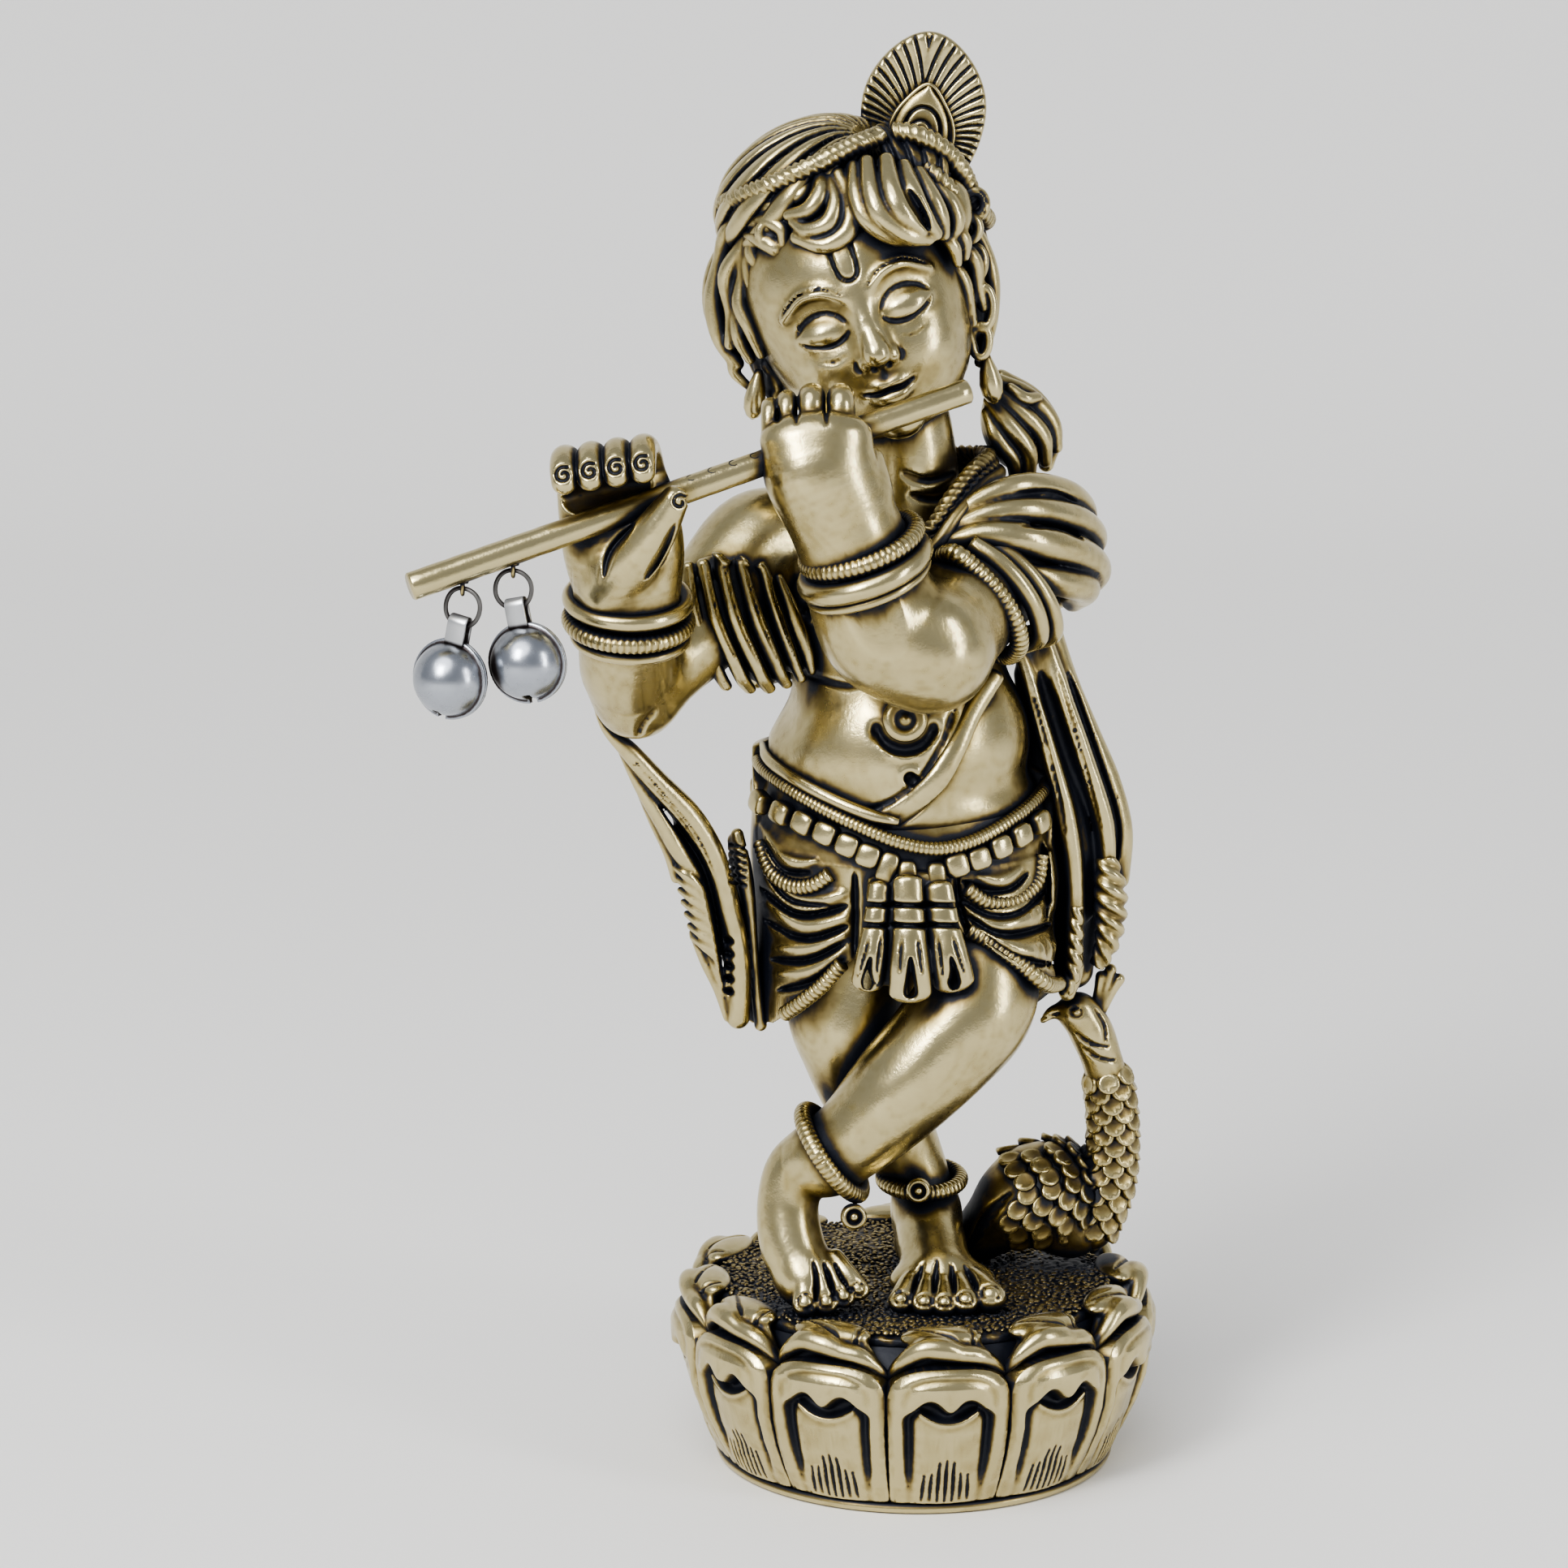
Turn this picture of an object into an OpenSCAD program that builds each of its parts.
/* [Lotus base] */
// Radius of the drum at the floor
drum_r = 27.5; // [26:0.5:28]
// Height of the drum under the seed pad
drum_h = 24; // [23.5:0.5:24.5]
// Wall of the hollow drum
drum_wall = 3; // [2:0.5:4]
// Petals in each row
petal_count = 12; // [10:1:14]

/* [Flute] */
// Radius of the flute rod
flute_r = 1.65; // [1.5:0.05:1.7]
// Radius of the drilled holes along the flute
finger_hole_r = 0.55; // [0.4:0.05:0.6]

/* [Bells] */
// Outer radius of a bell's round shell
bell_r = 4.8; // [4.5:0.1:4.8]
// Thickness of a bell's sheet metal
bell_wall = 0.5; // [0.4:0.05:0.5]
// Radius of the loose pellet inside a bell
pellet_r = 1.5; // [1.3:0.1:1.6]
// Radius of a hanging ring, at the middle of its wire
ring_r = 2.5; // [2.45:0.05:2.55]
// Radius of the wire of a hanging ring
wire_r = 0.3; // [0.25:0.05:0.3]

/* [Peacock feather] */
// Half the width of the feather fan
feather_w = 8.8; // [8:0.2:9]
// Half the height of the feather fan
feather_h = 11; // [10:0.5:11]

/* [Hidden] */

brass = [0.71, 0.60, 0.36];
dark_brass = [0.45, 0.37, 0.22];
steel = [0.75, 0.76, 0.78];

// Levels of the base
plate_t = 1.6;
pad_t = 1.5;
pad_top = drum_h + pad_t;
petal_step = 360 / petal_count;

// The figure's skeleton: right and left are the figure's own
pelvis = [-2, 0, 84];
belly = [-2, -3, 104];
chest = [-4, -0.5, 124];
throat = [0.5, -3, 138];
shoulder_r = [-20, -2.5, 130.5];
elbow_r = [-37.5, -18, 112.5];
wrist_r = [-38.8, -30, 126];
palm_r = [-39.6, -32, 135];
shoulder_l = [13, -3, 130.5];
elbow_l = [0, -24, 117];
wrist_l = [-8.5, -27.5, 133];
palm_l = [-13, -31.5, 144.5];
hip_s = [-10.5, 1, 82];
knee_s = [-9, -2, 62];
ankle_s = [0.8, 1.5, 39.5];
hip_c = [9.5, -3, 82];
knee_c = [11, -12.5, 70];
ankle_c = [-12.5, -13, 47.5];
skull = [-8.3, -1.5, 164];
head_tilt = 20;

// The flute runs from the lips, past both hands, to the free end that carries the bells
flute_lip_end = [5.8, -22, 153.8];
flute_free_end = [-66.2, -46, 131.2];
flute_axis = flute_free_end - flute_lip_end;
flute_len = norm(flute_axis);
flute_dir = flute_axis / flute_len;

// Where the two eyelets hang below the flute, as distances from the lip end
outer_at = flute_len - 7.2;
inner_at = flute_len - 14.2;
eyelet_drop = flute_r + 0.75;
eyelet_hole_r = 0.58;
eyelet_r = 1.02;
eyelet_t = 0.7;
outer_turn = -25;
inner_turn = -18;
outer_sway = 12;
inner_sway = -11;
strap_w = 2.7;
strap_in = 0.58;
strap_t = 0.42;
strap_top = 1.5;
strap_low = 4.4;
bell_drop = 9.6;
rim_t = 0.35;
rim_r = bell_r + 0.4;
slot_w = 1.1;
pellet_drop = bell_r - bell_wall - pellet_r - 0.12;

// The point on the flute's axis at a distance from the lip end
function on_flute(s) = flute_lip_end + flute_dir * s;

// The eyelet's hole centre, straight below the flute's axis
function eyelet_at(s) = on_flute(s) + [0, 0, -eyelet_drop / cos(asin(-flute_dir[2]))];

// Turns the Z axis to run along a vector
module along(v) {
    rotate([0, acos(v[2] / norm(v)), atan2(v[1], v[0])]) children();
}

// A rod between two points
module rod(a, b, r) {
    translate(a) along(b - a) cylinder(h = norm(b - a), r = r, $fn = 48);
}

// A limb: one rounded taper between two points
module taper(a, b, ra, rb, fn = 20) {
    hull() {
        translate(a) sphere(r = ra, $fn = fn);
        translate(b) sphere(r = rb, $fn = fn);
    }
}

// A rounded ridge that follows a list of points
module ridge(points, r, fn = 10) {
    for (i = [0 : len(points) - 2])
        hull() {
            translate(points[i]) sphere(r = r, $fn = fn);
            translate(points[i + 1]) sphere(r = r, $fn = fn);
        }
}

// An ellipsoid with its own tilt
module egg(c, r, turn = [0, 0, 0], fn = 24) {
    translate(c) rotate(turn) scale(r) sphere(r = 1, $fn = fn);
}

// A plain ring round an axis
module hoop(c, axis, r, wire) {
    translate(c) along(axis) rotate_extrude($fn = 64) translate([r, 0]) circle(r = wire, $fn = 24);
}

// ---- Lotus base ----

module base_plate() {
    color(brass) cylinder(h = plate_t, r = drum_r + 0.9, $fn = 128);
}

module lotus_drum() {
    color(dark_brass) rotate_extrude($fn = 128) polygon([
        [drum_r - drum_wall, plate_t], [drum_r, plate_t], [drum_r + 1, drum_h], [0, drum_h],
        [0, drum_h - drum_wall], [drum_r - drum_wall + 1, drum_h - drum_wall]
    ]);
}

// One arched petal cut from a turned band
module petal_row(band, low, high, width, shift) {
    for (i = [0 : petal_count - 1])
        rotate([0, 0, i * petal_step + shift])
            intersection() {
                rotate_extrude($fn = 128) polygon(band);
                translate([drum_r - 5, 0, 0]) rotate([90, 0, 90]) linear_extrude(height = 20)
                    union() {
                        translate([-width / 2, low]) square([width, high - low - width * 0.42]);
                        translate([0, high - width * 0.5]) circle(r = width / 2, $fn = 48);
                    }
            }
}

module lower_petals() {
    color(brass) petal_row([
        [drum_r + 0.1, plate_t], [drum_r + 1.2, plate_t], [drum_r + 4.5, 9], [drum_r + 6.3, 16],
        [drum_r + 5.5, 22.5], [drum_r + 2.8, 22.5], [drum_r + 2.8, 17], [drum_r + 0.7, 12]
    ], plate_t, 22, 13.9, petal_step / 2);
}

module upper_petals() {
    color(brass) petal_row([
        [drum_r + 1.05, 17.2], [drum_r + 2.5, 17.2], [drum_r + 2.5, 22.8], [drum_r + 4.6, 24.2],
        [drum_r + 4.4, 28], [drum_r + 1.9, 28], [drum_r + 1.05, 24.6]
    ], 17.2, 27.8, 13.4, 0);
}

module seed_pad() {
    color(dark_brass) translate([0, 0, drum_h]) cylinder(h = pad_t, r = drum_r + 0.9, $fn = 128);
}

// ---- Figure ----

module torso() {
    color(brass) union() {
        egg(belly, [17.5, 14.5, 15]);
        egg(chest, [18.5, 12, 14], [0, -4, 0]);
        egg(pelvis + [0, 0, 4], [18.5, 13, 13]);
        taper(chest, throat + [0, 0, 5], 8, 7);
    }
}

module head() {
    color(brass) translate(skull) rotate([0, -head_tilt, 0]) union() {
        egg([0, -0.5, 3], [15.5, 16.2, 15.5]);
        egg([0, -5, -8], [12.5, 12.3, 11.5]);
        egg([15.2, -0.5, -5], [2.2, 2.2, 5], fn = 14);
        egg([-15.2, -0.5, -5], [2.2, 2.2, 5], fn = 14);
    }
}

module hair_mass() {
    color(dark_brass) translate(skull) rotate([0, -head_tilt, 0])
        egg([0, 6.5, 1], [17.6, 13.5, 18.6]);
}

module front_curls() {
    color(brass) translate(skull) rotate([0, -head_tilt, 0])
        for (i = [-2 : 2])
            egg([i * 7, -13.5 + abs(i) * 2.7, 13 - abs(i) * 1.7], [4.4, 4, 4.6], fn = 14);
}

module side_locks() {
    color(brass) translate(skull) rotate([0, -head_tilt, 0])
        for (s = [-1, 1])
            ridge([[s * 14.6, -6, 10], [s * 16.2, -3, 2], [s * 15.2, 2, -8]], 2.9, 12);
}

module shoulder_lock() {
    color(brass) union() {
        taper([9.5, 3, 153], [13.8, 4.5, 146], 4, 5.2, 14);
        taper([13.8, 4.5, 146], [14.5, 4, 141.5], 5.2, 4, 14);
    }
}

module earrings() {
    color(brass) union() {
        egg([9.6, -3.5, 154.2], [1.5, 1.5, 3.6], [0, -8, 0], 14);
        egg([-22.2, -3.5, 152], [1.5, 1.5, 3.4], [0, 8, 0], 14);
    }
}

module turban_cap() {
    color(brass) translate(skull) rotate([0, -head_tilt - 8, 0])
        egg([0.6, 1, 16], [13.6, 14, 9.8]);
}

module turban_cord() {
    color(brass) union() {
        ridge([[-6.5, -9, 186.3], [-15, -11.5, 181.6], [-23.5, -7.5, 177.6], [-25.6, 1, 176.8],
               [-20, 10.5, 179.2]], 1.4, 12);
        ridge([[-3.2, -9, 185.8], [2.4, -9.5, 182], [6.2, -6.5, 176], [7.4, 0, 170.5]], 1.5, 12);
    }
}

module turban_knot() {
    color(dark_brass) egg([-1, -2, 180.5], [6, 7, 5.6], fn = 20);
}

module feather_fan() {
    color(brass) translate([0.2, 1.5, 188.6]) rotate([92, 0, 0]) rotate([0, 0, -8])
        linear_extrude(height = 2.4, center = true) scale([feather_w, feather_h]) circle(r = 1, $fn = 48);
}

module feather_eye() {
    color(brass) translate([0, 0, 185.6]) rotate([92, 0, 0]) rotate([0, 0, -8])
        translate([0, 0, 0.1]) linear_extrude(height = 1.1) scale([3.8, 4.6]) circle(r = 1, $fn = 40);
}

module right_arm() {
    color(brass) union() {
        taper(shoulder_r, elbow_r, 7.6, 7);
        taper(elbow_r, wrist_r, 7, 6.2);
    }
}

module right_hand() {
    color(brass) difference() {
        union() {
            hull() {
                translate(wrist_r + [0, -1.2, 2.5]) sphere(r = 6.2, $fn = 16);
                translate(palm_r + [-2.2, 0, 1.5]) sphere(r = 5.2, $fn = 16);
                translate(palm_r + [2.6, 0, 0.5]) sphere(r = 5.2, $fn = 16);
            }
            for (i = [0 : 3])
                ridge([palm_r + [-4.2 + i * 3.2, -1, 8.5 + i * 0.3],
                       palm_r + [-5.6 + i * 3.5, -5, 12.3 + i * 0.45],
                       palm_r + [-5.7 + i * 3.6, -9, 9.8 + i * 0.55]], 1.8, 12);
            taper(palm_r + [2, -5, -3.5], palm_r + [7, -8.5, 5], 2.6, 1.8, 14);
        }
        rod(flute_lip_end, flute_free_end, flute_r);
    }
}

module right_bangles() {
    color(brass) for (i = [0, 1])
        hoop(wrist_r + [-0.2, 0.6, 1.2 - i * 2.8], [0.05, -0.3, 1], 7.5, 1.15);
}

module left_arm() {
    color(brass) union() {
        taper(shoulder_l, elbow_l, 8.5, 9.2);
        taper(elbow_l, wrist_l, 9.2, 7.4);
    }
}

module left_hand() {
    color(brass) difference() {
        union() {
            hull() {
                translate(wrist_l + [-0.5, -0.6, 2.5]) sphere(r = 7, $fn = 20);
                translate(palm_l + [3.4, -0.2, 2]) sphere(r = 5.2, $fn = 20);
                translate(palm_l + [-2.8, -0.2, 2.4]) sphere(r = 5.2, $fn = 20);
            }
            for (i = [0 : 3])
                taper(palm_l + [-6 + i * 3.4, 1, 6.8 - i * 0.2], palm_l + [-6 + i * 3.4, 5.5, 8.2 - i * 0.2],
                      2, 1.6, 12);
        }
        rod(flute_lip_end, flute_free_end, flute_r);
    }
}

module left_bangles() {
    color(brass) for (i = [0, 1])
        hoop(wrist_l + [1, -0.4, 0.9 - i * 3.2], [-0.42, -0.2, 0.9], 8 + i * 0.3, 1.4);
}

module necklace() {
    color(brass) hoop(throat + [-1.5, -1, -2.2], [0.25, -0.55, 1], 9.6, 1.5);
}

module breast_pendant() {
    color(brass) translate([-2.2, -16.6, 108.6]) rotate([100, 0, 0]) cylinder(h = 1.8, r = 2.9, $fn = 40);
}

module sacred_thread() {
    color(brass) ridge([[13, -9, 113.5], [9.8, -14.5, 107], [5.5, -17.2, 101], [0, -18, 96.4]], 1.4);
}

module shoulder_shawl() {
    color(brass) for (i = [0 : 2])
        ridge([[3.5 + i * 0.6, -12, 134 - i * 3], [13.5, -12 - i * 0.5, 136.4 - i * 4.2],
               [21.2 + i * 0.4, -4, 135 - i * 3.8]], 3.1, 12);
}

module back_shawl() {
    color(brass) union() {
        taper([17, 3, 128], [-1, 12.5, 120], 4.6, 4.2, 16);
        taper([-1, 12.5, 120], [-21, 3.5, 117], 4.2, 4, 16);
    }
}

module sleeve_folds() {
    color(brass) for (i = [0 : 2])
        ridge([[-29.5 + i * 3.2, -15 + i * 1.5, 128.5 + i * 0.6], [-26 + i * 3, -13 + i * 1.4, 119.5 - i * 0.4],
               [-22.6 + i * 2, -9.5 + i, 112.5 + i * 0.6]], 2.4, 12);
}

module left_shawl_end() {
    color(brass) for (i = [0, 1])
        ridge([[17 + i * 1.2, -3 + i * 4, 121], [20.5 + i * 3, -2 + i * 4, 104],
               [23 + i * 4.5, -1 + i * 4, 88], [21.5 + i * 3.5, -2 + i * 4, 69.5]], 2.5, 12);
}

module right_shawl_end() {
    color(brass) for (i = [0, 1])
        ridge([[-39.8 + i * 1.2, -17 + i * 2, 106], [-35 + i * 4.2, -12 + i * 2.5, 92],
               [-29.5 + i * 4.5, -8 + i * 3, 78], [-24.2 + i * 2.6, -5.5 + i * 4, 66]], 2.5, 12);
}

module dhoti() {
    color(brass) difference() {
        union() {
            egg([-2, -0.5, 88], [21, 16.6, 20], fn = 32);
            translate([-1.5, 0, 66]) scale([1, 0.76, 1]) cylinder(h = 22, r1 = 21.5, r2 = 21, $fn = 40);
        }
        translate([-60, -60, 98.5]) cube(120);
        egg([-1.5, 0, 66], [17.5, 12.5, 9], fn = 28);
    }
}

module front_pleats() {
    color(brass) for (i = [-1 : 1])
        taper([-1.6 + i * 3, -17.6, 84.5], [-1.2 + i * 5.4, -18, 73.4], 2, 2.6, 14);
}

module waist_cord() {
    color(brass) translate([-2.2, -0.9, 96.2]) rotate([11, 0, 0]) scale([1.22, 1, 1])
        rotate_extrude($fn = 48) translate([16.7, 0]) circle(r = 1.3, $fn = 14);
}

module belt_drops() {
    color(brass) for (i = [0 : 17])
        let (a = 190 + i * 160 / 17)
            egg([-2 + 20.4 * cos(a), -1 + 17.6 * sin(a), 93.4 + 3.6 * sin(a)], [1.35, 1.3, 2.3], fn = 13);
}

module standing_leg() {
    color(brass) union() {
        taper(hip_s, knee_s, 9.5, 7.6);
        taper(knee_s, ankle_s, 7.6, 4.7);
    }
}

module standing_foot() {
    color(brass) union() {
        taper(ankle_s, [1.4, 1.5, 30.4], 4.6, 4.9, 16);
        taper([1.6, -2, 31], [3.6, -13.5, 28.6], 5, 3.1, 16);
        for (i = [0 : 4])
            taper([0.4 + i * 1.8, -13, 28.4], [-2.4 + i * 3.05, -18 + abs(i - 3) * 0.4, 27.3], 2, 1.75, 12);
    }
}

module standing_anklet() {
    color(brass) union() {
        hoop(ankle_s + [0.2, -0.8, 0], [0, -0.12, 1], 5.2, 1.25);
        translate(ankle_s + [-0.3, -6.2, 0]) rotate([98, 0, 0]) cylinder(h = 1.7, r = 1.75, $fn = 32);
    }
}

module crossed_leg() {
    color(brass) union() {
        taper(hip_c, knee_c, 9.5, 9);
        taper(knee_c, ankle_c, 9, 5.6);
    }
}

module crossed_foot() {
    color(brass) union() {
        taper(ankle_c, [-16.8, -11, 43], 5.4, 4.6, 16);
        taper([-16.8, -11, 43], [-16, -15.3, 30.4], 5, 4.4, 16);
        for (i = [0 : 3])
            taper([-15.5 + i * 1.7, -15.6, 31], [-13.8 + i * 2.3, -19 + i * 0.35, 27.4 + i * 0.4], 2, 1.7, 12);
    }
}

module crossed_anklet() {
    color(brass) union() {
        hoop(ankle_c + [0.6, -0.3, 0.2], [0.9, -0.12, 0.62], 7, 1.3);
        translate([-8.6, -18.4, 39.8]) rotate([98, 0, 0]) cylinder(h = 2, r = 1.9, $fn = 32);
    }
}

// ---- Peacock ----

module peacock_body() {
    color(brass) union() {
        egg([18.2, 4.5, 36], [9.2, 7.4, 8], [0, -12, 0]);
        taper([12.5, 5, 33], [10, 6.5, 29.6], 5, 4, 16);
    }
}

module peacock_neck() {
    color(brass) union() {
        ridge([[25.6, 3.5, 31.5], [28, 2.5, 41], [27.6, 1.5, 51.5], [24.8, 0.5, 60.5]], 3.2, 14);
        taper([24.8, 0.5, 60.5], [22.6, 0, 64.2], 3.3, 2.4, 14);
    }
}

module peacock_crest() {
    color(brass) taper([25.6, 0.6, 63.5], [27.6, 0.6, 69.5], 1.5, 1.1, 12);
}

// ---- Flute and bells ----

module flute() {
    color(brass) difference() {
        rod(flute_lip_end, flute_free_end, flute_r);
        for (i = [0 : 3])
            translate(on_flute(31 + i * 3)) rotate([30, 0, 0])
                cylinder(h = flute_r * 2, r = finger_hole_r, $fn = 24);
    }
}

module flute_eyelets() {
    color(dark_brass) for (s = [inner_at, outer_at])
        difference() {
            translate(eyelet_at(s)) rotate([0, 90, 0])
                cylinder(h = eyelet_t, r = eyelet_r, center = true, $fn = 32);
            translate(eyelet_at(s)) rotate([0, 90, 0])
                cylinder(h = eyelet_t * 3, r = eyelet_hole_r, center = true, $fn = 32);
            rod(flute_lip_end, flute_free_end, flute_r);
        }
}

// Places a bell's parts: the origin is the ring's centre, turned with the ring and by the bell's sway
module hung(s, turn, sway = 0) {
    translate(eyelet_at(s) + [0, 0, -ring_r]) rotate([0, 0, turn]) rotate([0, sway, 0]) children();
}

module hanging_ring(s, turn) {
    hung(s, turn) rotate([90, 0, 0]) rotate_extrude($fn = 64) translate([ring_r, 0]) circle(r = wire_r, $fn = 24);
}

// A strap of sheet metal folded over the ring's wire
module strap_outline(grow) {
    translate([0, -strap_top - strap_in]) circle(r = strap_in + grow, $fn = 40);
    translate([-strap_in - grow, -strap_low]) square([(strap_in + grow) * 2, strap_low - strap_top - strap_in]);
}

module bell_strap(s, turn, sway) {
    hung(s, turn, sway) difference() {
        rotate([90, 0, 90]) linear_extrude(height = strap_w, center = true) difference() {
            strap_outline(strap_t);
            strap_outline(0);
        }
        translate([0, 0, -bell_drop]) sphere(r = bell_r, $fn = 64);
    }
}

// Half of the round shell with its crimped rim; side is -1 for the front and 1 for the back
module bell_half(s, turn, sway, side) {
    hung(s, turn, sway) translate([0, 0, -bell_drop]) difference() {
        union() {
            intersection() {
                sphere(r = bell_r, $fn = 64);
                translate([-10, side > 0 ? 0 : -10, -10]) cube([20, 10, 20]);
            }
            rotate([-side * 90, 0, 0]) cylinder(h = rim_t, r = rim_r, $fn = 64);
        }
        sphere(r = bell_r - bell_wall, $fn = 64);
        translate([-slot_w / 2, -10, -10]) cube([slot_w, 20, 8]);
        translate([-4, -3.5, bell_r - 0.1]) cube([8, 7, 3]);
    }
}

module bell_pellet(s, turn, sway) {
    translate(eyelet_at(s) + [-bell_drop * sin(sway) * cos(turn), -bell_drop * sin(sway) * sin(turn),
                              -ring_r - bell_drop * cos(sway) - pellet_drop])
        sphere(r = pellet_r, $fn = 48);
}

module outer_ring() { color(dark_brass) hanging_ring(outer_at, outer_turn); }
module outer_strap() { color(steel) bell_strap(outer_at, outer_turn, outer_sway); }
module outer_bell_front() { color(steel) bell_half(outer_at, outer_turn, outer_sway, -1); }
module outer_bell_back() { color(steel) bell_half(outer_at, outer_turn, outer_sway, 1); }
module outer_pellet() { color(steel) bell_pellet(outer_at, outer_turn, outer_sway); }
module inner_ring() { color(dark_brass) hanging_ring(inner_at, inner_turn); }
module inner_strap() { color(steel) bell_strap(inner_at, inner_turn, inner_sway); }
module inner_bell_front() { color(steel) bell_half(inner_at, inner_turn, inner_sway, -1); }
module inner_bell_back() { color(steel) bell_half(inner_at, inner_turn, inner_sway, 1); }
module inner_pellet() { color(steel) bell_pellet(inner_at, inner_turn, inner_sway); }

base_plate();
lotus_drum();
lower_petals();
upper_petals();
seed_pad();
torso();
head();
hair_mass();
front_curls();
side_locks();
shoulder_lock();
earrings();
turban_cap();
turban_cord();
turban_knot();
feather_fan();
feather_eye();
right_arm();
right_hand();
right_bangles();
left_arm();
left_hand();
left_bangles();
necklace();
breast_pendant();
sacred_thread();
shoulder_shawl();
back_shawl();
sleeve_folds();
left_shawl_end();
right_shawl_end();
dhoti();
front_pleats();
waist_cord();
belt_drops();
standing_leg();
standing_foot();
standing_anklet();
crossed_leg();
crossed_foot();
crossed_anklet();
peacock_body();
peacock_neck();
peacock_crest();
flute();
flute_eyelets();
outer_ring();
outer_strap();
outer_bell_front();
outer_bell_back();
outer_pellet();
inner_ring();
inner_strap();
inner_bell_front();
inner_bell_back();
inner_pellet();
